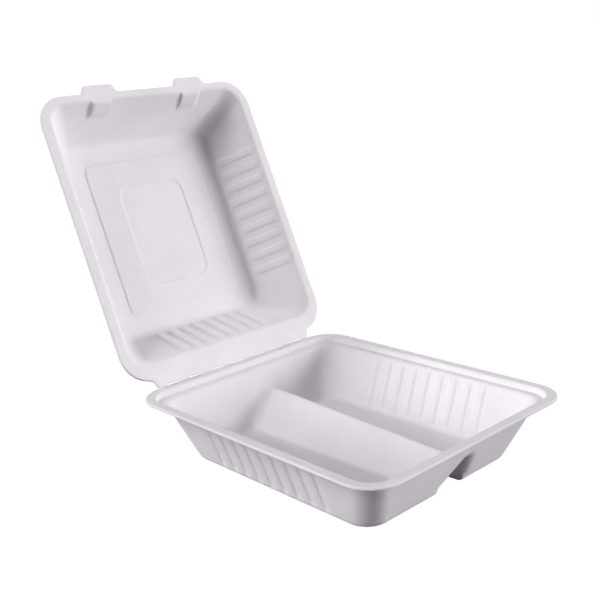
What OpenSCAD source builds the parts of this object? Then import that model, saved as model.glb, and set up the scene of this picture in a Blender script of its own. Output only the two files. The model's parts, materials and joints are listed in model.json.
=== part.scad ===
// Moulded pulp meal box: a tray in two compartments with a hinged lid,
// standing on its two feet with the lid open.
// X runs along the fold, +Y points at the fold and Z is up from the table. The origin is on the
// table, under the middle of the whole object.

/* [Rim] */
// Width of the rim, along the fold
rim_w = 210; // [190:1:235]
// Depth of the rim, from its front edge to the fold
rim_d = 240; // [220:1:270]
// Corner radius of the rim
rim_r = 24; // [22:1:28]
// How far the rim's edge is turned down
lip_h = 1.9; // [1.7:0.1:2.6]
// Corner radius of the walls at the mouth
mouth_r = 15.5; // [13:0.5:18]

/* [Tray] */
// Height of the rim above the table
tray_h = 48; // [42:1:58]
// Thickness of the tray's sheet
tray_sheet = 1.1; // [0.9:0.05:1.3]
// Width of the flat flange
flange_w = 7.8; // [6.5:0.1:8.5]
// Drop from the flange to the ledge inside it
step_h = 4.4; // [3.5:0.1:6]
// From the rim's edge to the top of the side and front walls
tray_wall_in = 13; // [12.5:0.5:16]
// From the fold to the top of the hinge wall
tray_hinge_in = 15.5; // [14:0.5:18]
// Lean of the side walls
tray_side_draft = 20.5; // [16:0.5:22]
// Lean of the front wall
tray_front_draft = 23.5; // [16:0.5:25]
// Lean of the hinge wall
tray_hinge_draft = 21.5; // [16:0.5:23]
// Radius between the walls and the floor
tray_fillet = 6; // [4:0.5:7]
// Corner radius of the walls at the floor
tray_floor_r = 16; // [10:0.5:18]

/* [Divider] */
// Height of the crest above the table, halfway along it
crest_h = 25; // [19:0.5:30]
// How much bigger the divider is at the fold than halfway, and smaller at the front
taper = 0.13; // [0:0.01:0.16]
// Place of the crest, right of the middle
crest_x = 12; // [6:0.5:18]
// Radius of the crest
crest_r = 2.4; // [2:0.1:3.5]
// Foot of the gentle face, left of the middle
foot_left = -12.5; // [-16:0.5:-6]
// Foot of the steep face, right of the middle
foot_right = 17.5; // [15:0.5:24]
// Radius where the divider runs out into the end walls
flare_r = 11; // [5:0.5:12]

/* [Lid] */
// Angle between the open lid and the tray
lid_open = 113.65; // [60:0.05:180]
// Depth of the lid, from its flange to its panel
lid_depth = 40; // [30:1:46]
// Thickness of the lid's sheet
lid_sheet = 0.8; // [0.7:0.05:1.1]
// From the lid's edge to the top of its side walls
lid_side_in = 9; // [8:0.5:11]
// From the fold to the top of the lid's hinge wall
lid_hinge_in = 19.5; // [17:0.5:22]
// From the lid's far edge to the top of its far wall
lid_far_in = 6.5; // [6:0.5:9]
// Lean of the lid's side walls
lid_side_draft = 26.5; // [20:0.5:30]
// Lean of the lid's hinge and far walls
lid_end_draft = 32; // [26:0.5:34]
// Radius between the lid's walls and its panel
lid_fillet = 8; // [5:0.5:10]
// Corner radius of the lid's walls at the panel
lid_floor_r = 12; // [10:0.5:14]
// Half width of the neck that joins lid and tray
neck_x = 82; // [70:1:82]
// Length of the neck
neck_l = 7; // [5:0.5:10]

/* [Panel] */
// Height of the embossed border
emboss_h = 0.8; // [0.4:0.1:1.2]
// Half width of the border outside
border_x = 58.5; // [50:0.5:62]
// Length of the border outside
border_l = 134; // [120:1:140]
// Half width of the flat field inside the border
field_x = 31.3; // [25:0.1:36]
// Length of the flat field
field_l = 87; // [70:1:100]

/* [Ribs] */
// Distance from rib to rib on the side walls
rib_pitch = 13; // [12.5:0.1:13.5]
// Distance from rib to rib on the lid's hinge wall
hinge_pitch = 12.4; // [11:0.1:13]
// Middle of the ribs on the side walls, from the middle of the tray's rim
ribs_mid = -3.4; // [-6:0.1:6]
// Height of a rib
rib_h = 1.1; // [0.6:0.1:1.5]
// Width of a rib at its foot
rib_foot = 7.6; // [6:0.1:8.5]
// Width of a rib at its top
rib_top = 4.8; // [3.5:0.1:5.5]
// Ribs on each side wall
side_ribs = 9; // [5:2:9]
// Ribs on the lid's hinge wall
hinge_ribs = 8; // [4:2:8]

/* [Tabs and fold] */
// Distance from the middle to each tab
tab_x = 45.3; // [38:0.1:55]
// Width of a tab at the rim
tab_w = 34; // [28:1:38]
// Width of a tab at its tip
tab_tip = 27; // [20:1:30]
// How far a tab sticks out
tab_l = 6.7; // [4:0.1:9]
// Width of the tongue behind each tab
tongue_w = 20.5; // [16:0.5:26]
// How far down the far wall the tongue reaches
tongue_l = 14; // [10:0.5:20]
// How far the tongue stands off the wall
tongue_off = 2.4; // [1.5:0.1:3]
// Clear space between lid and tray at the fold
fold_gap = 0.3; // [0.2:0.05:0.5]
// Slits along the fold
slits = 7; // [3:2:7]
// Distance from slit to slit
slit_pitch = 21.8; // [19:0.1:23]
// Length of a slit
slit_l = 14.2; // [10:0.1:17]
// Depth of a slit into each edge
slit_d = 0.4; // [0.2:0.05:0.6]

/* [Hidden] */

corner_n = 5;
fillet_n = 3;
bend_n = 2;
flare_n = 4;
crest_n = 5;
pulp = [0.92, 0.88, 0.91];

fold_y = rim_d / 2;
lip_w = 1.1;
edge_r = 0.5;
step_lean = 0.8;
ledge_bend = 2.2;
mouth_bend = 1.6;
rib_gap = 2.5;
rib_fade = 2.5;
neck_fillet = 4;
flare_end = 0.25;
border_r = 9;
field_r = 11;
soft = 1.2;
past = 1;

ledge_z = tray_h - step_h;
tray_depth = ledge_z - tray_sheet;

// An outline is [half width, near end, far end, corner radius]
tray_rim = [rim_w / 2, -fold_y, fold_y - fold_gap / 2, rim_r];
tray_mouth = [rim_w / 2 - tray_wall_in, -fold_y + tray_wall_in, fold_y - tray_hinge_in, mouth_r];
tray_floor = floor_of(tray_mouth, tray_depth, tray_side_draft, tray_front_draft,
    tray_hinge_draft, tray_floor_r);
lid_rim = [rim_w / 2, neck_l, rim_d, rim_r];
lid_mouth = [rim_w / 2 - lid_side_in, lid_hinge_in, rim_d - lid_far_in, mouth_r];
lid_floor = floor_of(lid_mouth, lid_depth, lid_side_draft, lid_end_draft, lid_end_draft,
    lid_floor_r);
panel_mid = (lid_floor[1] + lid_floor[2]) / 2;

tray_side_ribs = centres(side_ribs, ribs_mid, rib_pitch);
lid_side_ribs = centres(side_ribs, fold_y - ribs_mid, rib_pitch);
lid_hinge_ribs = centres(hinge_ribs, 0, hinge_pitch);

// The open lid reaches furthest back with the outer edge of its panel's fillet
reach = max([for (r = lid_shape(), p = r) far_out(p)]);
mid_y = (reach - fold_y) / 2;

function centres(count, mid, pitch) =
    [for (i = [0:count - 1]) mid + (i - (count - 1) / 2) * pitch];

// The outline of a bowl's floor, from its mouth, its depth and how its walls lean
function floor_of(mouth, depth, side, near, far, r) =
    [mouth[0] - depth * tan(side), mouth[1] + depth * tan(near), mouth[2] - depth * tan(far), r];

function grow(outline, d) = outline + d * [1, -1, 1, 1];

function bezier(a, b, c, u) = (1 - u) * (1 - u) * a + 2 * u * (1 - u) * b + u * u * c;

// How far a sheet's outer face lies outside its inner one, once it is lowered by its thickness
function skin(sheet, draft) = sheet * (1 - sin(draft)) / cos(draft);

function corner(x, y, r, from) =
    [for (i = [0:corner_n]) [x + r * cos(from + 90 * i / corner_n), y + r * sin(from + 90 * i / corner_n)]];

// Each rib gives four points: its place along the wall and its height off it
function beads(places, h) =
    [for (c = places) each [
        [c - rib_foot / 2, 0], [c - rib_top / 2, h], [c + rib_top / 2, h], [c + rib_foot / 2, 0]
    ]];

// One level ring of a bowl, with ribs on its side walls and its near wall
function ring(o, z, sides, ends, h) =
    let (s = beads(sides, h), e = beads(ends, h), n = len(s))
    [for (p = concat(
        [for (b = s) [o[0] - b[1], b[0]]],
        corner(o[0] - o[3], o[2] - o[3], o[3], 0),
        corner(o[3] - o[0], o[2] - o[3], o[3], 90),
        [for (i = [1:n]) [s[n - i][1] - o[0], s[n - i][0]]],
        corner(o[3] - o[0], o[1] + o[3], o[3], 180),
        [for (b = e) [b[0], o[1] + b[1]]],
        corner(o[0] - o[3], o[1] + o[3], o[3], 270)
    )) [p[0], p[1], z]];

// Rings up a bowl's wall: the fillet at the floor, then the ribs, which fade at both ends
function wall_rings(floor, mouth, depth, z, draft, fillet, sides, ends) =
    let (run = fillet * tan((90 - draft) / 2), rise = run * cos(draft))
    concat(
        [for (i = [0:fillet_n]) let (u = i / fillet_n, h = rise * u * u)
            ring(grow(up(floor, mouth, h / depth), -run * (1 - u) * (1 - u)), z + h,
                sides, ends, rib_h * u * u * 0.5)],
        [for (p = [[rise + rib_fade, rib_h], [depth - rib_gap - rib_fade, rib_h], [depth - rib_gap, 0]])
            ring(up(floor, mouth, p[0] / depth), z + p[0], sides, ends, p[1])]
    );

function up(floor, mouth, s) = floor + (mouth - floor) * s;

// Rings around the bend from a wall's top out into the flat beside it
function bend_rings(floor, mouth, depth, z, bend, sides, ends) =
    let (low = up(floor, mouth, 1 - bend / depth), out = grow(mouth, bend))
    [for (i = [0:bend_n]) let (u = i / bend_n)
        ring(bezier(low, mouth, out, u), bezier(z + depth - bend, z + depth, z + depth, u), sides, ends, 0)];

// Rings around a turned-down edge, from the flat's underside to its top
function lip_rings(rim, top, sheet, sides, ends) =
    [for (p = [[lip_w, sheet], [lip_w, lip_h], [0, lip_h], [0, edge_r], [edge_r, 0]])
        ring(grow(rim, -p[0]), top - p[1], sides, ends, 0)];

module loft(rings) {
    n = len(rings[0]);
    m = len(rings);
    polyhedron(
        points = [for (r = rings) each r],
        faces = [
            [for (i = [0:n - 1]) i],
            for (j = [0:m - 2], i = [0:n - 1])
                each let (a = j * n + i, b = j * n + (i + 1) % n) [[a, a + n, b], [b, a + n, b + n]],
            [for (i = [1:n]) m * n - i]
        ],
        convexity = 10
    );
}

module tray_outside() {
    out = skin(tray_sheet, tray_side_draft);
    floor = grow(tray_floor, out);
    mouth = grow(tray_mouth, out);
    ribs = tray_side_ribs;
    inset = flange_w - tray_sheet;
    loft(concat(
        wall_rings(floor, mouth, tray_depth, 0, tray_side_draft, tray_fillet, ribs, []),
        bend_rings(floor, mouth, tray_depth, 0, ledge_bend, ribs, []),
        [ring(grow(tray_rim, -inset - step_lean), ledge_z - tray_sheet, ribs, [], 0)],
        [ring(grow(tray_rim, -inset), tray_h - tray_sheet, ribs, [], 0)],
        lip_rings(tray_rim, tray_h, tray_sheet, ribs, [])
    ));
}

module tray_inside() {
    ribs = tray_side_ribs;
    loft(concat(
        wall_rings(tray_floor, tray_mouth, tray_depth, tray_sheet, tray_side_draft, tray_fillet, ribs, []),
        bend_rings(tray_floor, tray_mouth, tray_depth, tray_sheet, ledge_bend, ribs, []),
        [ring(grow(tray_rim, -flange_w - step_lean), ledge_z, ribs, [], 0)],
        [ring(grow(tray_rim, -flange_w - edge_r / 2), tray_h - edge_r, ribs, [], 0)],
        [ring(grow(tray_rim, -flange_w + edge_r / 2), tray_h, ribs, [], 0)],
        [ring(grow(tray_rim, -flange_w + edge_r / 2), tray_h + past, ribs, [], 0)]
    ));
}

// The divider's section above the floor, as [x, z, x and z of its normal, share of the flare]
divider_top = crest_h - tray_sheet - crest_r;
left_lean = atan2(divider_top, crest_x - foot_left)
    + asin(crest_r / norm([crest_x - foot_left, divider_top]));
right_lean = atan2(divider_top, foot_right - crest_x)
    + asin(crest_r / norm([foot_right - crest_x, divider_top]));

function divider_foot(x, lean, way) =
    let (run = tray_fillet * tan(lean / 2))
    [for (i = [0:fillet_n])
        let (u = i / fillet_n, p = bezier([-run, 0], [0, 0], run * [cos(lean), sin(lean)], u))
        [x + way * p[0], p[1], -way * sin(lean * u), cos(lean * u), u * u]];

divider_right = divider_foot(foot_right, right_lean, -1);
divider_profile = concat(
    divider_foot(foot_left, left_lean, 1),
    [for (i = [0:crest_n]) let (a = 90 + left_lean - (left_lean + right_lean) * i / crest_n)
        [crest_x + crest_r * cos(a), divider_top + crest_r * sin(a), cos(a), sin(a), 1]],
    [for (i = [fillet_n:-1:0]) divider_right[i]]
);

// How far the divider has swollen at a distance from an end wall
function flare(q, r) = q >= r ? 0 : r - sqrt(r * r - (r - max(q, 0)) * (r - max(q, 0)));

// One section of the divider, parallel to an end wall and at a distance q inside it
function divider_ring(way, q, offset, r, z) =
    let (end = way < 0 ? tray_floor[1] : tray_floor[2],
        draft = way < 0 ? tray_front_draft : tray_hinge_draft,
        size = 1 + way * taper,
        swell = flare(q, r),
        section = [for (p = divider_profile)
            let (d = offset + swell * p[4])
            [crest_x + size * (p[0] - crest_x) + d * p[2], size * p[1] + d * p[3]]],
        right = section[len(section) - 1][0],
        left = section[0][0])
    [for (p = concat(section, [[right, -2 * tray_sheet - past], [left, -2 * tray_sheet - past]]))
        [p[0], end + way * (p[1] * tan(draft) - (q + offset) / cos(draft)), z + p[1]]];

// A ridge under the sheet or over it, which swells as it meets the end walls
module ridge(offset, r) {
    steps = [for (i = [0:flare_n]) flare_end + (r - flare_end) * (1 - cos(90 * i / flare_n))];
    loft(concat(
        [divider_ring(-1, -2 * tray_sheet, offset, r, tray_sheet)],
        [for (q = steps) divider_ring(-1, q, offset, r, tray_sheet)],
        [for (i = [flare_n:-1:0]) divider_ring(1, steps[i], offset, r, tray_sheet)],
        [divider_ring(1, -2 * tray_sheet, offset, r, tray_sheet)]
    ));
}

module slit_row(y, z) {
    for (x = centres(slits, 0, slit_pitch))
        translate([x - slit_l / 2, y - slit_d, z - 2 * lip_h])
            cube([slit_l, 2 * slit_d, 3 * lip_h]);
}

// Each half is resized to its own width, which keeps it one plain solid
module tray() {
    color(pulp)
    translate([0, -mid_y, 0])
    resize([rim_w, 0, 0])
    difference() {
        tray_outside();
        ridge(-tray_sheet, flare_r + tray_sheet);
        difference() {
            tray_inside();
            ridge(0, flare_r);
        }
        // The sheet has no turned-down edge along the fold
        translate([rim_r - rim_w / 2, fold_y - 2 * lip_w, tray_h - tray_sheet - lip_h])
            cube([rim_w - 2 * rim_r, 3 * lip_w, lip_h]);
        slit_row(tray_rim[2], tray_h);
    }
}

// The embossed border on the panel, a sloped edge around it and around its flat field
module border(z) {
    outside = [border_x, panel_mid - border_l / 2, panel_mid + border_l / 2, border_r];
    inside = [field_x, panel_mid - field_l / 2, panel_mid + field_l / 2, field_r];
    translate([0, 0, z])
    difference() {
        loft([ring(outside, -past, [], [], 0), ring(outside, 0, [], [], 0),
            ring(grow(outside, -soft), emboss_h, [], [], 0)]);
        loft([ring(inside, -2 * past, [], [], 0), ring(inside, 0, [], [], 0),
            ring(grow(inside, soft), emboss_h, [], [], 0),
            ring(grow(inside, soft), emboss_h + past, [], [], 0)]);
    }
}

// A flat tongue down the far wall behind each tab
module tongues(outward) {
    lean = tan(lid_end_draft);
    wall = lid_mouth[2] + outward;
    for (side = [-1, 1])
        translate([side * tab_x - tongue_w / 2, 0, 0])
            rotate([90, 0, 90])
                linear_extrude(tongue_w)
                    polygon([
                        [wall + past * 3, -outward],
                        [wall - tongue_off, -outward],
                        [wall - tongue_off - lean * tongue_l * 0.7, -tongue_l * 0.7 - outward],
                        [wall - lean * tongue_l, -tongue_l - outward],
                        [wall + past * 3, -tongue_l - outward]
                    ]);
}

// The rings of the lid's outer face, from its panel to its edge
function lid_shape() =
    let (out = skin(lid_sheet, lid_end_draft), floor = grow(lid_floor, out), mouth = grow(lid_mouth, out),
        z = -lid_depth - lid_sheet)
    concat(
        wall_rings(floor, mouth, lid_depth, z, lid_side_draft, lid_fillet, lid_side_ribs, lid_hinge_ribs),
        bend_rings(floor, mouth, lid_depth, z, mouth_bend, lid_side_ribs, lid_hinge_ribs),
        lip_rings(lid_rim, 0, lid_sheet, lid_side_ribs, lid_hinge_ribs)
    );

// How far back a point of the flat lid lies once the lid is open
function far_out(p) = fold_y + p[1] * cos(180 - lid_open) - (p[2] - fold_gap / 2) * sin(180 - lid_open);

module lid_outside() {
    difference() {
        loft(lid_shape());
        border(-lid_depth - lid_sheet);
        translate([rim_r - rim_w / 2, neck_l - past, -lid_sheet - lip_h])
            cube([rim_w - 2 * rim_r, 2 * lip_w + past, lip_h]);
    }
}

module lid_inside() {
    difference() {
        loft(concat(
            wall_rings(lid_floor, lid_mouth, lid_depth, -lid_depth, lid_side_draft, lid_fillet,
                lid_side_ribs, lid_hinge_ribs),
            bend_rings(lid_floor, lid_mouth, lid_depth, -lid_depth, mouth_bend,
                lid_side_ribs, lid_hinge_ribs),
            [ring(grow(lid_mouth, mouth_bend), past, lid_side_ribs, lid_hinge_ribs, 0)]
        ));
        border(-lid_depth);
        tongues(0);
    }
}

// The neck at the fold, with a hollow corner on each side where it meets the flange
module neck() {
    translate([0, 0, -lid_sheet])
    linear_extrude(lid_sheet)
    difference() {
        translate([-neck_x - neck_fillet, fold_gap / 2])
            square([2 * (neck_x + neck_fillet), neck_l + 2 * past]);
        for (side = [-1, 1])
            translate([side * (neck_x + neck_fillet), neck_l - neck_fillet])
                circle(r = neck_fillet, $fn = 32);
        for (side = [-1, 1])
            translate([side * (neck_x + neck_fillet) - neck_fillet, 0])
                square([2 * neck_fillet, neck_l - neck_fillet]);
    }
}

module tab() {
    translate([0, rim_d, -lid_sheet])
    linear_extrude(lid_sheet)
    polygon(concat(
        [[-tab_w / 2, -2 * past], [tab_w / 2, -2 * past]],
        [for (i = [0:corner_n]) let (a = 90 * i / corner_n)
            [tab_tip / 2 - 2 + 2 * cos(a), tab_l - 2 + 2 * sin(a)]],
        [for (i = [0:corner_n]) let (a = 90 + 90 * i / corner_n)
            [-tab_tip / 2 + 2 + 2 * cos(a), tab_l - 2 + 2 * sin(a)]]
    ));
}

module lid() {
    color(pulp)
    translate([0, fold_y - mid_y, tray_h + fold_gap / 2])
    rotate([180 - lid_open, 0, 0])
    translate([0, 0, -fold_gap / 2])
    resize([rim_w, 0, 0])
    difference() {
        union() {
            lid_outside();
            neck();
            for (side = [-1, 1])
                translate([side * tab_x, 0, 0])
                    tab();
        }
        lid_inside();
        slit_row(fold_gap / 2, 0);
    }
}

tray();
lid();
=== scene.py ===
import json
import math

import bpy
import numpy as np
from mathutils import Matrix, Vector


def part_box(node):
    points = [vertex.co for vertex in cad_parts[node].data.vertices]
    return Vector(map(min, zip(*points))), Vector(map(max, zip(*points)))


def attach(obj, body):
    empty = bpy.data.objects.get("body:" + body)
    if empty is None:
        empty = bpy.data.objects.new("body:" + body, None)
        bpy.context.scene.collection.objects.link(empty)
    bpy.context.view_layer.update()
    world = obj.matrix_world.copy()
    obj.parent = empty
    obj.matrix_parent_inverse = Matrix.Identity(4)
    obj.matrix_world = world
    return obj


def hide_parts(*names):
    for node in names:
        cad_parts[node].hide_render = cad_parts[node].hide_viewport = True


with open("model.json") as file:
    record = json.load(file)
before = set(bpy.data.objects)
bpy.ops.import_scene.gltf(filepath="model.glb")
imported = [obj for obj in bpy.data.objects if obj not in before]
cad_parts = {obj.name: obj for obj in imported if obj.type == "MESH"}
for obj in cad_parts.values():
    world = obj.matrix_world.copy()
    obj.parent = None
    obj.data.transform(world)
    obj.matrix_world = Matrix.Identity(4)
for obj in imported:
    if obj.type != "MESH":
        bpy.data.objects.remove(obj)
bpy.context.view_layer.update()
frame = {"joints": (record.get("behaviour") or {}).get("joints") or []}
print("frame loaded")

# Everything below is worked out in millimetres and scaled when a mesh is made
metre = 1000.0
trayLow, trayHigh = [[c * metre for c in corner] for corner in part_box("tray")]
hinge = frame["joints"][0]
foldY = hinge["pos_m"][1] * metre
foldZ = hinge["pos_m"][2] * metre
lidLift = -hinge["range_deg"][0]  # how far the lid is raised from flat open, degrees
foldGap = 2 * (foldY - trayHigh[1])
rimX = trayHigh[0]
rimMiddle = (trayLow[1] + foldY) / 2

# Camera and light

camera = dict(azimuth=-41.25, elevation=15.89, roll=-3.52, distance=693.6, right=-62.4, up=109.8,
              forward=1.07, below=50.2, lens=55.74, sensor=36.0, shiftX=0.0617, shiftY=0.0167)


def addCamera(c):
    az, el, roll = (math.radians(c[k]) for k in ("azimuth", "elevation", "roll"))
    back = Vector((math.sin(az) * math.cos(el), -math.cos(az) * math.cos(el), math.sin(el)))
    right = (-back).cross(Vector((0, 0, 1))).normalized()
    up = right.cross(-back)
    turned = right * math.cos(roll) + up * math.sin(roll)
    upright = up * math.cos(roll) - right * math.sin(roll)
    place = back * c["distance"] + turned * c["right"] + upright * c["up"]
    place += Vector((0, rimMiddle + c["forward"], trayHigh[2] - c["below"]))
    data = bpy.data.cameras.new("camera")
    data.lens = c["lens"]
    data.sensor_width = c["sensor"]
    data.shift_x = c["shiftX"]
    data.shift_y = c["shiftY"]
    data.clip_start = 0.01
    obj = bpy.data.objects.new("camera", data)
    bpy.context.collection.objects.link(obj)
    turn = Matrix((turned, upright, back)).transposed().to_4x4()
    obj.matrix_world = Matrix.Translation(place / metre) @ turn
    bpy.context.scene.camera = obj


# azimuth and elevation say where a lamp stands, seen from the middle of the object
lamps = dict(
    left=dict(azimuth=-86, elevation=42, spread=30, strength=1.7),
    low=dict(azimuth=-117, elevation=12, spread=26, strength=1.6),
    right=dict(azimuth=44, elevation=9, spread=30, strength=3.3),
    back=dict(azimuth=150, elevation=20, spread=60, strength=0.6),
)


def addLamp(name, lamp):
    az, el = math.radians(lamp["azimuth"]), math.radians(lamp["elevation"])
    way = Vector((math.sin(az) * math.cos(el), -math.cos(az) * math.cos(el), math.sin(el)))
    data = bpy.data.lights.new(name, "SUN")
    data.angle = math.radians(lamp["spread"])
    data.energy = lamp["strength"]
    obj = bpy.data.objects.new(name, data)
    bpy.context.collection.objects.link(obj)
    obj.location = way
    obj.rotation_euler = way.to_track_quat("Z", "Y").to_euler()


# Shader maths: an expression on signals adds the nodes that work it out


class Signal:
    def __init__(self, net, socket):
        self.net = net
        self.socket = socket

    def maths(self, operation, *terms):
        return self.net.node("ShaderNodeMath", dict(operation=operation), dict(enumerate(terms)))

    def __add__(self, other):
        return self.maths("ADD", self, other)

    def __radd__(self, other):
        return self.maths("ADD", other, self)

    def __mul__(self, other):
        return self.maths("MULTIPLY", self, other)

    def __rmul__(self, other):
        return self.maths("MULTIPLY", other, self)

    def sine(self):
        return self.maths("SINE", self)


class Net:
    def __init__(self, material):
        material.use_nodes = True
        self.tree = material.node_tree
        self.shader = self.tree.nodes["Principled BSDF"]

    def node(self, kind, settings=None, inputs=None, output=0):
        made = self.tree.nodes.new(kind)
        for name, value in (settings or {}).items():
            if name == "stops":
                ramp = made.color_ramp.elements
                for element, (place, shade) in zip(ramp, value):
                    element.position = place
                    element.color = (shade, shade, shade, 1)
            else:
                setattr(made, name, value)
        for name, value in (inputs or {}).items():
            self.feed(made.inputs[name], value)
        return Signal(self, made.outputs[output])

    def feed(self, socket, value):
        if isinstance(value, Signal):
            self.tree.links.new(value.socket, socket)
        else:
            socket.default_value = value

    def mix(self, amount, low, high):
        kind = dict(data_type="RGBA", blend_type="MIX")
        return self.node("ShaderNodeMix", kind, {0: amount, 6: low, 7: high}, 2)

    def noise(self, place, scale, detail=2.0, rough=0.5):
        sizes = {"Vector": place, "Scale": scale, "Detail": detail, "Roughness": rough}
        return self.node("ShaderNodeTexNoise", None, sizes)

    def ramp(self, value, *stops):
        return self.node("ShaderNodeValToRGB", dict(stops=stops), {0: value})


# The pulp: pale, faintly lilac, matt, with fibres, a few specks and the print of the wire mould
pulp = dict(
    pale=(0.815, 0.775, 0.815, 1), deep=(0.745, 0.705, 0.75, 1), speck=(0.60, 0.53, 0.50, 1),
    roughness=0.86, cloudScale=28.0, fibreScale=260.0, speckScale=420.0,
    meshPitch=2.2, insideBump=0.10, outsideBump=0.65, bumpHeight=0.0004)


def pulpMaterial(name, meshShare, bump):
    material = bpy.data.materials.new(name)
    net = Net(material)
    place = net.node("ShaderNodeTexCoord", None, None, 3)
    axes = [net.node("ShaderNodeSeparateXYZ", None, {0: place}, i) for i in range(3)]

    # fibres lie every way in the sheet: three stretched noises, each turned differently
    strands = 0
    for turn in ((0.3, 0.2, 0.1), (1.1, -0.4, 1.3), (-0.7, 0.9, 2.3)):
        turned = net.node("ShaderNodeMapping", None, {0: place, "Rotation": turn, "Scale": (1, 1, 0.16)})
        strands = strands + net.noise(turned, pulp["fibreScale"] * 2.2, 2.0) * 0.333
    cloud = net.noise(place, pulp["cloudScale"], 4.0, 0.6)
    grain = net.noise(place, pulp["fibreScale"] * 3.0, 3.0, 0.7)
    flecks = net.node("ShaderNodeTexVoronoi", None, {"Vector": place, "Scale": pulp["speckScale"]})
    fleck = net.ramp(flecks, (0.0, 1.0), (0.10, 0.0))

    turns = 2 * math.pi * metre / pulp["meshPitch"]
    waves = [(axis * turns).sine() for axis in axes]
    mesh = waves[2] * 0.8 + waves[0] * waves[1] * 0.5

    shade = net.ramp(cloud * 0.5 + strands * 0.35 + grain * 0.15, (0.32, 0.0), (0.62, 1.0))
    colour = net.mix(shade, pulp["deep"], pulp["pale"])
    colour = net.mix(fleck * 0.35, colour, pulp["speck"])
    height = strands * 0.5 + grain * 0.35 + mesh * meshShare + cloud * 0.4
    bumps = {"Strength": bump, "Distance": pulp["bumpHeight"], "Height": height}
    relief = net.node("ShaderNodeBump", None, bumps)

    net.feed(net.shader.inputs["Base Color"], colour)
    net.feed(net.shader.inputs["Normal"], relief)
    net.shader.inputs["Roughness"].default_value = pulp["roughness"]
    net.shader.inputs["Specular IOR Level"].default_value = 0.25
    net.shader.inputs["Sheen Weight"].default_value = 0.06
    return material


# Stage: a white world to look at, soft light from it, and a floor that keeps the shadow
stage = dict(skyLight=0.06, floorSize=40.0, floorShade=(0.12, 0.12, 0.13, 1), floorSeen=(1.0, 1.0, 1.0, 1),
             floorWhite=0.9, whiteStrength=1.08)


def whiteWorld():
    world = bpy.data.worlds.new("studio")
    bpy.context.scene.world = world
    world.use_nodes = True
    tree = world.node_tree
    tree.nodes.clear()
    path = tree.nodes.new("ShaderNodeLightPath")
    seen = tree.nodes.new("ShaderNodeMath")
    seen.operation = "MAXIMUM"
    tree.links.new(path.outputs["Is Camera Ray"], seen.inputs[0])
    tree.links.new(path.outputs["Is Glossy Ray"], seen.inputs[1])
    soft = tree.nodes.new("ShaderNodeBackground")
    soft.inputs["Strength"].default_value = stage["skyLight"]
    soft.inputs["Color"].default_value = (1, 1, 1, 1)
    plain = tree.nodes.new("ShaderNodeBackground")
    plain.inputs["Color"].default_value = (1, 1, 1, 1)
    plain.inputs["Strength"].default_value = 1.0
    choice = tree.nodes.new("ShaderNodeMixShader")
    tree.links.new(seen.outputs[0], choice.inputs[0])
    tree.links.new(soft.outputs[0], choice.inputs[1])
    tree.links.new(plain.outputs[0], choice.inputs[2])
    out = tree.nodes.new("ShaderNodeOutputWorld")
    tree.links.new(choice.outputs[0], out.inputs[0])


def addFloor():
    half = stage["floorSize"] / 2
    data = bpy.data.meshes.new("floor")
    corners = [(-half, -half, 0), (half, -half, 0), (half, half, 0), (-half, half, 0)]
    data.from_pydata(corners, [], [(0, 1, 2, 3)])
    floor = bpy.data.objects.new("floor", data)
    bpy.context.collection.objects.link(floor)
    material = bpy.data.materials.new("floor")
    net = Net(material)
    # the camera sees the floor as white wherever no shadow lies on it
    seen = net.node("ShaderNodeLightPath")
    net.feed(net.shader.inputs["Base Color"], net.mix(seen, stage["floorShade"], stage["floorSeen"]))
    net.shader.inputs["Roughness"].default_value = 0.9
    white = net.tree.nodes.new("ShaderNodeEmission")
    white.inputs["Strength"].default_value = stage["whiteStrength"]
    both = net.tree.nodes.new("ShaderNodeMixShader")
    net.feed(both.inputs[0], seen * stage["floorWhite"])
    net.tree.links.new(net.shader.outputs[0], both.inputs[1])
    net.tree.links.new(white.outputs[0], both.inputs[2])
    net.tree.links.new(both.outputs[0], net.tree.nodes["Material Output"].inputs[0])
    data.materials.append(material)


# A shell is a bowl pressed from one sheet. Its outline at any level is a rounded rectangle, held as
# [half width, near end, far end, corner radius, height], so that levels can be blended as vectors.


def grow(outline, d, height=None):
    out = np.array([outline[0] + d, outline[1] - d, outline[2] + d, outline[3] + d, outline[4]])
    if height is not None:
        out[4] = height
    return out


def bendAt(a, corner, b, length, steps):
    # a rounded corner of the path, as long on each side as length
    def toward(p):
        way = p - corner
        return corner + way * (length / math.hypot(way[0], way[4]))
    start, end = toward(a), toward(b)
    us = np.linspace(0, 1, steps + 1)
    return [(1 - u) ** 2 * start + 2 * u * (1 - u) * corner + u * u * end for u in us]


def pathRings(corners, lengths, bends, runs):
    # corners of the sheet's section with their rounding, and how many levels lie between them
    rings = [corners[0]]
    for i in range(1, len(corners)):
        if i < len(corners) - 1:
            arc = bendAt(corners[i - 1], corners[i], corners[i + 1], lengths[i - 1], bends[i - 1])
        else:
            arc = [corners[i]]
        last = rings[-1]
        rings += [last + (arc[0] - last) * k / runs[i - 1] for k in range(1, runs[i - 1])]
        rings += arc
    return rings


def spread(core, stretch, low, high):
    # samples along a straight side: core stays in place and the ends stretch with the side
    left = core[0] + (low - core[0]) * stretch[::-1]
    right = core[-1] + (high - core[-1]) * stretch
    return np.concatenate([left, core, right])


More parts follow.
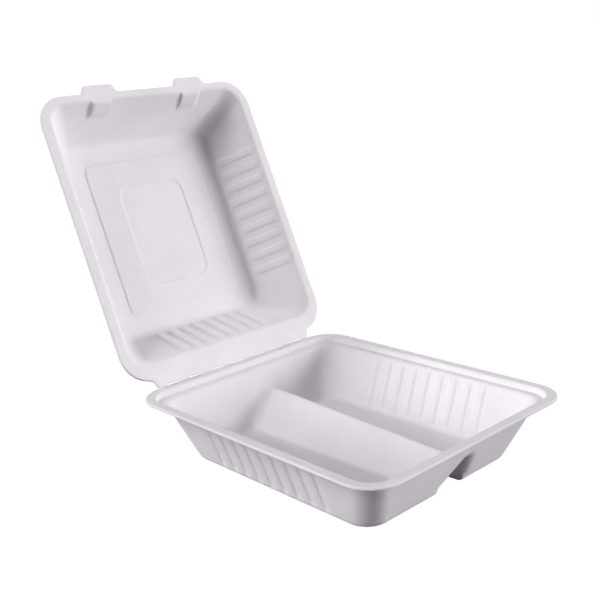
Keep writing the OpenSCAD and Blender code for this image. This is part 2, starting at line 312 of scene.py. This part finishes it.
def ringPoints(o, cols, rows, cornerSteps):
    half, near, far, r, z = o
    xs = spread(*cols, r - half, half - r)
    ys = spread(*rows, near + r, far - r)

    def arc(cx, cy, start):
        angles = start + np.linspace(0, math.pi / 2, cornerSteps + 1)[1:-1]
        return np.stack([cx + r * np.cos(angles), cy + r * np.sin(angles)], 1)

    def side(x, y):
        x, y = np.broadcast_arrays(x, y)
        return np.stack([x, y], 1)

    flat = np.concatenate([
        side(half, ys), arc(half - r, far - r, 0),
        side(xs[::-1], far), arc(r - half, far - r, math.pi / 2),
        side(-half, ys[::-1]), arc(r - half, near + r, math.pi),
        side(xs, near), arc(half - r, near + r, 1.5 * math.pi)])
    return np.column_stack([flat, np.full(len(flat), z)])


def floorGrid(o, cols, rows, cornerSteps):
    # the flat inside the last ring, and which of its points lie on that ring, in the ring's order
    half, near, far, r, z = o
    h = cornerSteps // 2
    xs = spread(*cols, r - half, half - r)
    ys = spread(*rows, near + r, far - r)
    nx, ny = len(xs), len(ys)
    i, j = np.meshgrid(np.arange(nx + 2 * h), np.arange(ny + 2 * h), indexing="ij")
    a = (np.clip(h - i, 0, None) + np.clip(i - h - nx + 1, 0, None)) / h
    b = (np.clip(h - j, 0, None) + np.clip(j - h - ny + 1, 0, None)) / h
    big = np.maximum(a, b)
    angle = np.where(a >= b, b / np.maximum(a, 1e-9), 2 - a / np.maximum(b, 1e-9)) * math.pi / 4
    x = xs[np.clip(i - h, 0, nx - 1)] + np.where(i < h, -1, 1) * r * big * np.cos(angle) * (a > 0)
    y = ys[np.clip(j - h, 0, ny - 1)] + np.where(j < h, -1, 1) * r * big * np.sin(angle) * (b > 0)
    points = np.stack([x, y, np.full_like(x, z)], 2)
    lastI, lastJ = nx + 2 * h - 1, ny + 2 * h - 1
    edge = [(lastI, k) for k in range(h, lastJ)] + [(k, lastJ) for k in range(lastI, 0, -1)]
    edge += [(0, k) for k in range(lastJ, 0, -1)] + [(k, 0) for k in range(0, lastI)]
    edge += [(lastI, k) for k in range(0, h)]
    return points, edge


def smooth(value, low, high):
    t = np.clip((value - low) / (high - low), 0, 1)
    return t * t * (3 - 2 * t)


def nearest(along, places):
    # how far each value lies from the nearest of some places
    return np.min(np.abs(along[:, None] - np.array(places)[None, :]), axis=1)


def around(places, offsets):
    return sorted(p + d for p in places for d in offsets)


def merged(*lists, least=0.18):
    # one rising list of samples, without near repeats
    kept = []
    for value in sorted(v for some in lists for v in some):
        if not kept or value - kept[-1] > least:
            kept.append(value)
    return np.array(kept)


def evenly(count, middle, pitch):
    return [middle + (k - (count - 1) / 2) * pitch for k in range(count)]


def vertexNormals(points, quads):
    normals = np.zeros_like(points)
    cross = np.cross(points[quads[:, 2]] - points[quads[:, 0]], points[quads[:, 3]] - points[quads[:, 1]])
    for k in range(4):
        np.add.at(normals, quads[:, k], cross)
    return normals / np.maximum(np.linalg.norm(normals, axis=1), 1e-12)[:, None]


def sheetQuads(rings, perRing, gridShape, edge):
    # quads down the rings and over the floor, facing the inside of the bowl
    k = np.arange(perRing)
    nxt = (k + 1) % perRing
    quads = []
    for j in range(rings - 1):
        above, below = j * perRing, (j + 1) * perRing
        quads.append(np.stack([above + k, above + nxt, below + nxt, below + k], 1))
    base = rings * perRing
    index = base + np.arange(gridShape[0] * gridShape[1]).reshape(gridShape)
    for pos, (i, j) in enumerate(edge):  # the last ring's points are the floor's own edge
        index[i, j] = (rings - 1) * perRing + pos
    quads.append(np.stack([index[:-1, :-1], index[1:, :-1], index[1:, 1:], index[:-1, 1:]], 2).reshape(-1, 4))
    return np.concatenate(quads)


def shellMesh(name, points, quads, perRing, sheet, roof, materials):
    # the inside face, the outside face one sheet further out but not above the roof, and the cut edge
    used = np.unique(quads)
    renumber = np.full(len(points), -1)
    renumber[used] = np.arange(len(used))
    points, quads = points[used], renumber[quads]
    normals = vertexNormals(points, quads)
    count = len(points)
    outer = points - normals * sheet
    outer[:, 2] = np.minimum(outer[:, 2], roof)
    k = np.arange(perRing)
    nxt = (k + 1) % perRing
    rim = np.stack([k, k + count, nxt + count, nxt], 1)
    faces = np.concatenate([quads, quads[:, ::-1] + count, rim])
    slot = np.concatenate([np.zeros(len(quads)), np.ones(len(quads) + len(rim))]).astype(np.int32)
    data = bpy.data.meshes.new(name)
    verts = np.concatenate([points, outer]) / metre
    data.vertices.add(len(verts))
    data.vertices.foreach_set("co", verts.ravel())
    data.loops.add(faces.size)
    data.loops.foreach_set("vertex_index", faces.ravel().astype(np.int32))
    data.polygons.add(len(faces))
    data.polygons.foreach_set("loop_start", np.arange(0, faces.size, 4, dtype=np.int32))
    data.polygons.foreach_set("material_index", slot)
    data.polygons.foreach_set("use_smooth", np.ones(len(faces), dtype=bool))
    data.update(calc_edges=True)
    data.validate()
    for material in materials:
        data.materials.append(material)
    obj = bpy.data.objects.new(name, data)
    bpy.context.collection.objects.link(obj)
    print(name, "has", len(faces), "faces")
    return obj


rib = dict(pitch=13.0, hingePitch=12.4, height=1.2, foot=8.8, top=3.6, perSide=9, perHinge=8, middle=-3.4,
           samples=(-4.6, -4.0, -3.4, -2.8, -2.2, -1.6, 0, 1.6, 2.2, 2.8, 3.4, 4.0, 4.6))
fold = dict(slits=7, pitch=21.8, length=14.2, depth=0.4, samples=(-7.5, -7.1, -6.7, 6.7, 7.1, 7.5))
slitPlaces = evenly(fold["slits"], 0, fold["pitch"])
lipLevels = 6  # levels of the turned-down edge and its bend


def ribRise(along, places):
    # how far the ribs stand out of a wall at each point along it
    return rib["height"] * (1 - smooth(nearest(along, places), rib["top"] / 2, rib["foot"] / 2))


def slitNotch(x):
    # how far the slits cut into the edge at the fold
    return fold["depth"] * (1 - smooth(nearest(x, slitPlaces), fold["length"] / 2 - 0.5, fold["length"] / 2))


# Tray

tray = dict(sheet=1.1, rimR=24.0, flange=7.8, step=4.4, stepLean=0.8, wallIn=13.0, hingeIn=15.5,
            mouthR=15.5, floorR=16.0, sideDraft=20.5, frontDraft=23.5, hingeDraft=21.5, fillet=6.0,
            lip=1.9, cornerSteps=14)
divider = dict(height=25.0, x=12.0, radius=2.4, footLeft=-12.5, footRight=17.5, taper=0.13, flare=8.5,
               rise=6.0, reach=42.0, arcSamples=24, spacing=1.15, halvings=16)


def floorOf(mouth, depth, side, near, far, r, z):
    lean = [math.tan(math.radians(a)) * depth for a in (side, near, far)]
    return np.array([mouth[0] - lean[0], mouth[1] + lean[1], mouth[2] - lean[2], r, z])


def dividerProfile():
    # x and z of the ridge's section above the tray's floor, evenly sampled along its length
    top = divider["height"] - tray["sheet"] - divider["radius"]

    def lean(run):
        return math.atan2(top, run) + math.asin(divider["radius"] / math.hypot(run, top))

    left = lean(divider["x"] - divider["footLeft"])
    right = lean(divider["footRight"] - divider["x"])
    path = []
    for foot, angle, way in ((divider["footLeft"], left, 1), (divider["footRight"], right, -1)):
        run = tray["fillet"] * math.tan(angle / 2)
        us = np.linspace(0, 1, divider["arcSamples"])
        xs = -run * (1 - us) ** 2 + run * math.cos(angle) * us ** 2
        path.append(np.stack([foot + way * xs, run * math.sin(angle) * us ** 2], 1))
    turn = np.linspace(math.pi / 2 + left, math.pi / 2 - right, divider["arcSamples"])
    crestX = divider["x"] + divider["radius"] * np.cos(turn)
    crestZ = top + divider["radius"] * np.sin(turn)
    whole = np.concatenate([path[0], np.stack([crestX, crestZ], 1), path[1][::-1]])
    length = np.concatenate([[0], np.cumsum(np.linalg.norm(np.diff(whole, axis=0), axis=1))])
    even = np.linspace(0, length[-1], int(length[-1] / divider["spacing"]))
    return np.interp(even, length, whole[:, 0]), np.interp(even, length, whole[:, 1])


def overRidge(ridge, x, z, size):
    # how far a point lies over the ridge's section, which is size times as big there
    px, pz = divider["x"] + (x - divider["x"]) / size, z / size
    ax, az = ridge[0][:-1], ridge[1][:-1]
    bx, bz = np.diff(ridge[0]), np.diff(ridge[1])
    t = ((px[:, None] - ax) * bx + (pz[:, None] - az) * bz) / (bx ** 2 + bz ** 2)
    t = np.clip(t, 0, 1)
    away = np.hypot(px[:, None] - ax - t * bx, pz[:, None] - az - t * bz).min(axis=1)
    under = pz < np.interp(px, ridge[0], ridge[1], left=0, right=0)
    return np.where(under, -away, away) * size


def raiseDivider(points, ridge, floorZ, floor):
    # lifts the sheet to the ridge, which swells as it runs out into the end walls
    r = divider["flare"]
    nearBy = (points[:, 0] > ridge[0][0] - r - 8) & (points[:, 0] < ridge[0][-1] + r + 8)
    some = np.flatnonzero(nearBy & (points[:, 2] < trayHigh[2] - tray["step"] - 3))
    x, y, z = points[some].T
    size = 1 + divider["taper"] * np.clip((2 * y - floor[1] - floor[2]) / (floor[2] - floor[1]), -1, 1)
    low = z - floorZ
    high = np.full_like(low, trayHigh[2] - tray["step"] - floorZ)
    front, back = math.radians(tray["frontDraft"]), math.radians(tray["hingeDraft"])
    for _ in range(divider["halvings"]):
        level = (low + high) / 2
        inFront = (y - floor[1]) * math.cos(front) + level * math.sin(front)
        inBack = (floor[2] - y) * math.cos(back) + level * math.sin(back)
        q = np.clip(np.minimum(inFront, inBack), 0, r)
        share = smooth(level, 0, divider["rise"])
        swell = (r - np.sqrt(r * r - (r - q) ** 2)) * share
        free = overRidge(ridge, x, level, size) > swell
        high = np.where(free, level, high)
        low = np.where(free, low, level)
    start = points[some, 2] - floorZ
    lifted = np.where(high - start > 0.01, high, start)
    points[some, 2] = floorZ + lifted


def makeTray():
    t = tray
    top = trayHigh[2]
    sheet = t["sheet"]
    ledge = top - t["step"]
    depth = ledge - sheet
    rim = np.array([rimX, trayLow[1], trayHigh[1], t["rimR"], top])
    mouth = np.array([rimX - t["wallIn"], trayLow[1] + t["wallIn"], foldY - t["hingeIn"], t["mouthR"], ledge])
    floor = floorOf(mouth, depth, t["sideDraft"], t["frontDraft"], t["hingeDraft"], t["floorR"], sheet)
    run = t["fillet"] * math.tan(math.radians(45 - t["sideDraft"] / 2))
    corners = [grow(rim, 0, top - t["lip"]), rim, grow(rim, -t["flange"]),
               grow(rim, -t["flange"] - t["stepLean"], ledge), mouth, floor, grow(floor, -run - 1.2)]
    levels = pathRings(corners, [1.0, 1.5, 1.0, 2.6, run], [4, 4, 3, 4, 6], [2, 3, 2, 2, 16, 1])

    ridge = dividerProfile()
    ribY = evenly(rib["perSide"], rimMiddle + rib["middle"], rib["pitch"])
    slitEnds = around(slitPlaces, fold["samples"])
    reach = divider["reach"]
    core = merged(ridge[0], [v for v in slitEnds if abs(v) <= reach], np.linspace(-reach, reach, 16))
    straight = rimX - t["rimR"]
    outerX = [(v - reach) / (straight - reach) for v in slitEnds if reach < v < straight]
    cols = core, merged(outerX, np.linspace(0, 1, 12)[1:], least=0.01)
    rows = merged(around(ribY, rib["samples"])), np.linspace(0, 1, 8)[1:]

    rings = []
    for k, o in enumerate(levels):
        p = ringPoints(o, cols, rows, t["cornerSteps"])
        onWall = smooth(o[4], sheet + 1, sheet + 7) * (1 - smooth(o[4], ledge - 4.5, ledge - 2.2))
        sides = np.abs(np.abs(p[:, 0]) - o[0]) < 1e-6
        p[:, 0] -= np.sign(p[:, 0]) * sides * onWall * ribRise(p[:, 1], ribY)
        if k < lipLevels:
            # along the fold the sheet runs straight on, and the slits cut into its edge
            flat = (p[:, 1] > foldY - 8) * (1 - smooth(np.abs(p[:, 0]), straight - 3, straight + 4))
            inward = slitNotch(p[:, 0]) * (1 - k / lipLevels) + 1.4 * k / lipLevels
            p[:, 1] += flat * (trayHigh[1] - inward - p[:, 1])
            p[:, 2] += flat * (top - p[:, 2])
        rings.append(p)
    grid, edge = floorGrid(levels[-1], cols, rows, t["cornerSteps"])
    perRing = len(rings[0])
    quads = sheetQuads(len(rings), perRing, grid.shape[:2], edge)
    points = np.concatenate(rings + [grid.reshape(-1, 3)])
    raiseDivider(points, ridge, sheet, floor)
    shell = shellMesh("tray_shell", points, quads, perRing, sheet, top, pulpSides)
    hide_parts("tray")
    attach(shell, "tray")


# Lid, built flat with V away from the fold as y and its inner face up, then lifted at the fold

lid = dict(sheet=0.8, depth=40.0, rimR=24.0, neck=7.0, neckX=82.0, neckR=4.0, length=240.0,
           sideIn=9.0, hingeIn=19.5, farIn=6.5, mouthR=15.5, floorR=12.0, sideDraft=26.5,
           endDraft=32.0, fillet=8.0, lip=1.9, cornerSteps=16)
emboss = dict(height=0.8, x=58.5, length=134.0, r=9.0, fieldX=31.3, fieldLength=87.0, fieldR=11.0, soft=1.3)
tab = dict(x=45.3, base=34.0, tip=27.0, length=6.7, tongue=20.5, tongueLength=14.0, off=2.4, soft=1.4)


def roundedDistance(x, y, halfX, halfY, r):
    # how far outside a rounded rectangle a point lies, less than 0 inside it
    dx, dy = np.abs(x) - (halfX - r), np.abs(y) - (halfY - r)
    return np.hypot(np.maximum(dx, 0), np.maximum(dy, 0)) + np.minimum(np.maximum(dx, dy), 0) - r


def makeLid():
    t = lid
    sheet = t["sheet"]
    rim = np.array([rimX, t["neck"], t["length"], t["rimR"], 0.0])
    mouth = np.array([rimX - t["sideIn"], t["hingeIn"], t["length"] - t["farIn"], t["mouthR"], 0.0])
    floor = floorOf(mouth, t["depth"], t["sideDraft"], t["endDraft"], t["endDraft"], t["floorR"], -t["depth"])
    run = t["fillet"] * math.tan(math.radians(45 - t["sideDraft"] / 2))
    corners = [grow(rim, 0, -t["lip"]), rim, mouth, floor, grow(floor, -run - 1.2)]
    levels = pathRings(corners, [1.0, 2.0, run], [4, 4, 7], [2, 4, 12, 1])
    middle = (floor[1] + floor[2]) / 2
    ribY = evenly(rib["perSide"], foldY - rimMiddle - rib["middle"], rib["pitch"])
    ribX = evenly(rib["perHinge"], 0, rib["hingePitch"])
    slitEnds = around(slitPlaces, fold["samples"])
    reach = 62.5
    tabEnds = [tab["x"] + s * v for s in (-1, 1) for v in (17.0, 15.5, 14.2, 13.2, 11.2, 10.2, 9.2, 0)]
    borderEnds = around([emboss["x"] - 0.65, emboss["fieldX"] + 0.65], (-1.2, -0.4, 0.4, 1.2))
    mirrored = [s * v for s in (-1, 1) for v in tabEnds + borderEnds]
    core = merged(around(ribX, rib["samples"][1:-1]), mirrored, [v for v in slitEnds if abs(v) < reach],
                  [-reach, reach], least=0.35)
    straight = rimX - t["rimR"]
    outerX = [(v - reach) / (straight - reach) for v in slitEnds if reach < v < straight]
    cols = core, merged(outerX, np.linspace(0, 1, 6)[1:], least=0.03)
    borderRows = [middle + s * v for s in (-1, 1) for v in around(
        [emboss["length"] / 2 - 0.65, emboss["fieldLength"] / 2 + 0.65], (-1.2, -0.4, 0.4, 1.2))]
    ribRows = around(ribY, rib["samples"])
    lastRib = ribRows[-1]
    inRibs = [v for v in borderRows if ribRows[0] < v < lastRib]
    beyond = [(v - lastRib) / (floor[2] - t["floorR"] - lastRib) for v in borderRows if v > lastRib]
    beyondRibs = merged(beyond, np.linspace(0, 1, 10)[1:], least=0.02)
    rows = merged(ribRows, inRibs, least=0.3), beyondRibs

    rings = []
    for k, o in enumerate(levels):
        p = ringPoints(o, cols, rows, t["cornerSteps"])
        z = o[4]
        onWall = smooth(z, -t["depth"] + 1, -t["depth"] + 8) * (1 - smooth(z, -5.0, -2.0))
        sides = np.abs(np.abs(p[:, 0]) - o[0]) < 1e-6
        near = np.abs(p[:, 1] - o[1]) < 1e-6
        far = np.abs(p[:, 1] - o[2]) < 1e-6
        p[:, 0] -= np.sign(p[:, 0]) * sides * onWall * ribRise(p[:, 1], ribY)
        p[:, 1] += near * onWall * ribRise(p[:, 0], ribX)
        fromTab = np.abs(np.abs(p[:, 0]) - tab["x"])
        if k < lipLevels:
            tabOut = np.interp(fromTab, [tab["tip"] / 2 - 1.5, tab["tip"] / 2, tab["base"] / 2], [1, 0.9, 0])
            p[:, 1] += far * tab["length"] * tabOut
            # the neck runs on to the fold, with a hollow corner on each side
            x = np.abs(p[:, 0])
            hollow = t["neck"] - t["neckR"] + np.sqrt(
                np.clip(t["neckR"] ** 2 - (t["neckX"] + t["neckR"] - x) ** 2, 0, None))
            edgeV = np.where(x < t["neckX"], foldGap / 2 + slitNotch(p[:, 0]), hollow)
            edgeV = np.where(x > t["neckX"] + t["neckR"], 1e3, edgeV)
            target = edgeV + (t["neck"] + 1.0 - edgeV) * k / lipLevels
            inNeck = (p[:, 1] < t["neck"] + 6) & (target < p[:, 1])
            flat = inNeck * (1 - smooth(x, t["neckX"] - 2, t["neckX"] + t["neckR"]))
            p[:, 1] = np.where(inNeck, target, p[:, 1])
            p[:, 2] *= 1 - flat
        else:
            # the tongues stand off the far wall and run out into it further down
            tongueDown = [0, 1.2, tab["tongueLength"] * 0.7, tab["tongueLength"]]
            standing = np.interp(-z, tongueDown, [1, 1, 0.9, 0])
            width = 1 - smooth(fromTab, tab["tongue"] / 2 - tab["soft"], tab["tongue"] / 2)
            onMouth = smooth(k, lipLevels, lipLevels + 3)
            p[:, 1] -= far * tab["off"] * standing * width * onMouth
        rings.append(p)
    grid, edge = floorGrid(levels[-1], cols, rows, t["cornerSteps"])
    gx, gy = grid[..., 0], grid[..., 1] - middle
    fromBorder = roundedDistance(gx, gy, emboss["x"], emboss["length"] / 2, emboss["r"])
    fromField = roundedDistance(gx, gy, emboss["fieldX"], emboss["fieldLength"] / 2, emboss["fieldR"])
    raised = 1 - smooth(fromBorder, -emboss["soft"], 0)
    field = 1 - smooth(fromField, 0, emboss["soft"])
    grid[..., 2] += emboss["height"] * (raised - field)
    perRing = len(rings[0])
    quads = sheetQuads(len(rings), perRing, grid.shape[:2], edge)
    points = np.concatenate(rings + [grid.reshape(-1, 3)])
    shell = shellMesh("lid_shell", points, quads, perRing, sheet, 0.0, pulpSides)
    lift = (Matrix.Translation((0, foldY / metre, foldZ / metre))
            @ Matrix.Rotation(math.radians(lidLift), 4, "X")
            @ Matrix.Translation((0, 0, -foldGap / 2 / metre)))
    shell.data.transform(lift)
    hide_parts("lid")
    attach(shell, "lid")


addCamera(camera)
for lampName, lampSizes in lamps.items():
    addLamp(lampName, lampSizes)
whiteWorld()
addFloor()
print("camera and light set")

pulpSides = [pulpMaterial("pulp_inside", 0.05, pulp["insideBump"]),
             pulpMaterial("pulp_outside", 0.30, pulp["outsideBump"])]
makeTray()
print("tray made")
makeLid()
print("lid made")

bpy.context.scene.view_settings.view_transform = "Standard"
print("finished")
